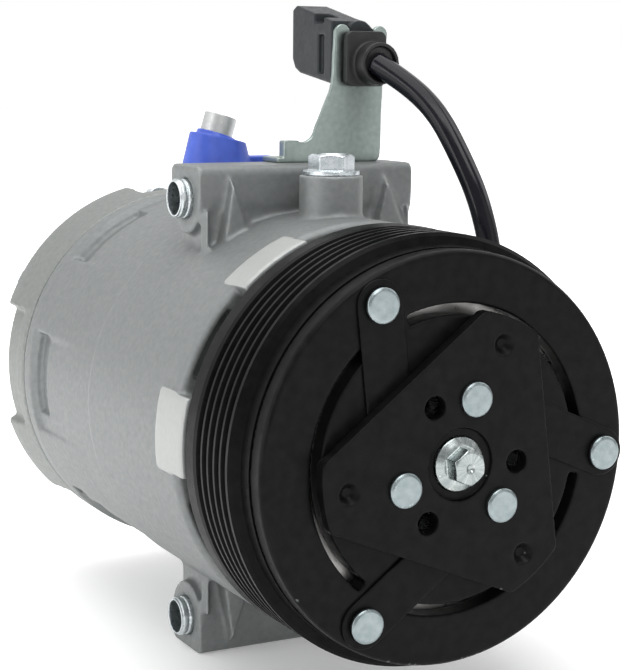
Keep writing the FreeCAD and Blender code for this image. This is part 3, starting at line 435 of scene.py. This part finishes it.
PAINTS = {
    "cast_housing": cast_paint("cast_housing", (0.190, 0.201, 0.201), (0.226, 0.238, 0.235)),
    "cast_head": cast_paint("cast_head", (0.205, 0.216, 0.208), (0.240, 0.251, 0.240)),
    "gasket": moulded_paint("gasket", (0.02, 0.02, 0.022), (0.04, 0.04, 0.04), 0.7, 0.9),
    "zinc_bolt": zinc_paint("zinc_bolt", (0.52, 0.57, 0.60), (0.72, 0.76, 0.78)),
    "zinc_sleeve": zinc_paint("zinc_sleeve", (0.50, 0.55, 0.56), (0.70, 0.74, 0.75), 0.25, 0.4),
    "machined_aluminium": turned_paint("machined_aluminium", (0.60, 0.61, 0.62), (0.74, 0.75, 0.76)),
    "piston_alloy": turned_paint("piston_alloy", (0.42, 0.43, 0.44), (0.56, 0.57, 0.58), 0.35, 0.5),
    "spring_steel": zinc_paint("spring_steel", (0.30, 0.32, 0.36), (0.45, 0.47, 0.50), 0.3, 0.45),
    "ground_steel": turned_paint("ground_steel", (0.55, 0.56, 0.57), (0.66, 0.67, 0.68), 0.2, 0.32),
    "forged_steel": turned_paint("forged_steel", (0.20, 0.20, 0.21), (0.30, 0.30, 0.31), 0.4, 0.6),
    "valve_brass": turned_paint("valve_brass", (0.62, 0.47, 0.22), (0.76, 0.62, 0.34)),
    "bearing_steel": turned_paint("bearing_steel", (0.66, 0.67, 0.68), (0.76, 0.77, 0.78), 0.12, 0.22),
    "seal_rubber": moulded_paint("seal_rubber", (0.015, 0.015, 0.016), (0.035, 0.035, 0.036), 0.5, 0.7),
    "black_pulley": pulley_paint("black_pulley", (0.003, 0.003, 0.003), (0.006, 0.006, 0.006), 0.26, 0.38),
    "black_clutch": black_paint("black_clutch", (0.003, 0.003, 0.003), (0.007, 0.007, 0.007), 0.30, 0.44),
    "zinc_rivet": zinc_paint("zinc_rivet", (0.27, 0.32, 0.33), (0.36, 0.41, 0.42), 0.26, 0.38),
    "coil_steel": black_paint("coil_steel", (0.02, 0.02, 0.02), (0.04, 0.04, 0.04), 0.4, 0.6),
    "coil_copper": wire_paint("coil_copper", (0.30, 0.10, 0.03), (0.62, 0.26, 0.10)),
    "bracket_zinc": zinc_paint("bracket_zinc", (0.29, 0.345, 0.325), (0.36, 0.415, 0.395), 0.3, 0.42),
    "connector_plastic": moulded_paint("connector_plastic", (0.016, 0.019, 0.022), (0.026, 0.030, 0.033),
                                       0.35, 0.5, 0.25),
    "boot_rubber": moulded_paint("boot_rubber", (0.006, 0.006, 0.007), (0.014, 0.014, 0.015), 0.4, 0.55),
    "terminal_tin": zinc_paint("terminal_tin", (0.66, 0.66, 0.62), (0.78, 0.78, 0.74)),
    "lead_sleeve": moulded_paint("lead_sleeve", (0.004, 0.004, 0.007), (0.008, 0.008, 0.012), 0.14, 0.22, 0.3,
                                 0.003 * MM),
    "blue_plastic": moulded_paint("blue_plastic", (0.040, 0.085, 0.46), (0.060, 0.12, 0.58), 0.35, 0.5),
}


# Pieces whose look differs from the rest of their slot
OWN_PAINTS = {
    "centre_bolt": spun_paint("spun_steel", (0.27, 0.31, 0.31), (0.52, 0.56, 0.55)),
    "port_cap_stud": zinc_paint("satin_steel", (0.50, 0.51, 0.51), (0.60, 0.61, 0.61), 0.42, 0.52),
}



def paint_nodes():
    for name, node in nodes.items():
        node.data.materials.clear()
        node.data.materials.append(PAINTS[slot_of_node[name]])


# ---------------------------------------------------------------- softened pieces

def place_piece(name, mesh, node):
    """Shows a new piece in place of a CAD node."""
    mesh.materials.clear()
    mesh.materials.append(OWN_PAINTS.get(node, PAINTS[slot_of_node[node]]))
    piece = bpy.data.objects.new(name, mesh)
    bpy.context.scene.collection.objects.link(piece)
    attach(piece, body_of_node[node])
    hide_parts(node)
    return piece


def welded(node):
    """The node's shape as one closed mesh with no loose corners."""
    bm = bmesh.new()
    bm.from_mesh(nodes[node].data)
    bmesh.ops.remove_doubles(bm, verts=bm.verts, dist=0.002 * MM)
    bm.verts.ensure_lookup_table()
    places = [v.co.copy() for v in bm.verts]
    faces = [[v.index for v in face.verts] for face in bm.faces]
    bm.free()
    mesh = bpy.data.meshes.new(node + "_skin")
    mesh.from_pydata(places, [], faces)
    return mesh


def soften(node, grain, passes):
    """Remeshes a node on a fine grid and smooths it, which rounds every edge as casting or wear does."""
    piece = place_piece(node + "_skin", welded(node), node)
    remesh = piece.modifiers.new("grid", "REMESH")
    remesh.mode = "VOXEL"
    remesh.voxel_size = grain
    remesh.use_smooth_shade = True
    smooth = piece.modifiers.new("soften", "SMOOTH")
    smooth.factor = 0.5
    smooth.iterations = passes
    graph = bpy.context.evaluated_depsgraph_get()
    settled = bpy.data.meshes.new_from_object(piece.evaluated_get(graph))
    piece.modifiers.clear()
    piece.data = settled


def soften_all():
    for grain, passes, names in SOFTENED:
        for node in names:
            soften(node, grain * MM, passes)


# ---------------------------------------------------------------- coil lead

def lead_line():
    """Points along the smooth route of the lead."""
    curve = bpy.data.curves.new("lead_route", "CURVE")
    curve.dimensions = "3D"
    curve.resolution_u = 24
    spline = curve.splines.new("NURBS")
    spline.points.add(len(LEAD_ROUTE) - 1)
    for point, place in zip(spline.points, LEAD_ROUTE):
        point.co = (*place, 1)
    spline.order_u = 3
    spline.use_endpoint_u = True
    holder = bpy.data.objects.new("lead_route", curve)
    line = [v.co.copy() for v in bpy.data.meshes.new_from_object(holder).vertices]
    bpy.data.objects.remove(holder)
    return line


def make_lead():
    """Shrunk sleeve over two wires: a slightly flattened tube with lengthwise wrinkles."""
    line = lead_line()
    sides = 40
    radius = LEAD_DIAMETER / 2
    across = Vector((1, 0, 0))
    places = []
    for k, centre in enumerate(line):
        along = (line[min(k + 1, len(line) - 1)] - line[max(k - 1, 0)]).normalized()
        across = (across - along * across.dot(along)).normalized()
        up = along.cross(across)
        for j in range(sides):
            turn = 2 * math.pi * j / sides
            out = across * math.cos(turn) + up * math.sin(turn)
            wrinkle = noise.noise(Vector((out.x * 1.6, out.y * 1.6, out.z * 1.6 + k * 0.012)))
            flat = 0.045 * math.cos(2 * turn + k * 0.02)
            places.append(centre + out * radius * (0.94 + 0.08 * wrinkle + flat))
    faces = []
    for k in range(len(line) - 1):
        for j in range(sides):
            a = k * sides + j
            b = k * sides + (j + 1) % sides
            faces.append((a, b, b + sides, a + sides))
    faces.append(tuple(reversed(range(sides))))
    faces.append(tuple(range(len(places) - sides, len(places))))
    mesh = bpy.data.meshes.new("lead")
    mesh.from_pydata(places, [], faces)
    mesh.polygons.foreach_set("use_smooth", [True] * (len(faces) - 2) + [False, False])
    lead = place_piece("lead", mesh, "coil_lead")


make_camera()
make_world()
make_lights()
make_floor()
paint_nodes()
make_lead()
soften_all()

bpy.context.scene.view_settings.view_transform = "Standard"
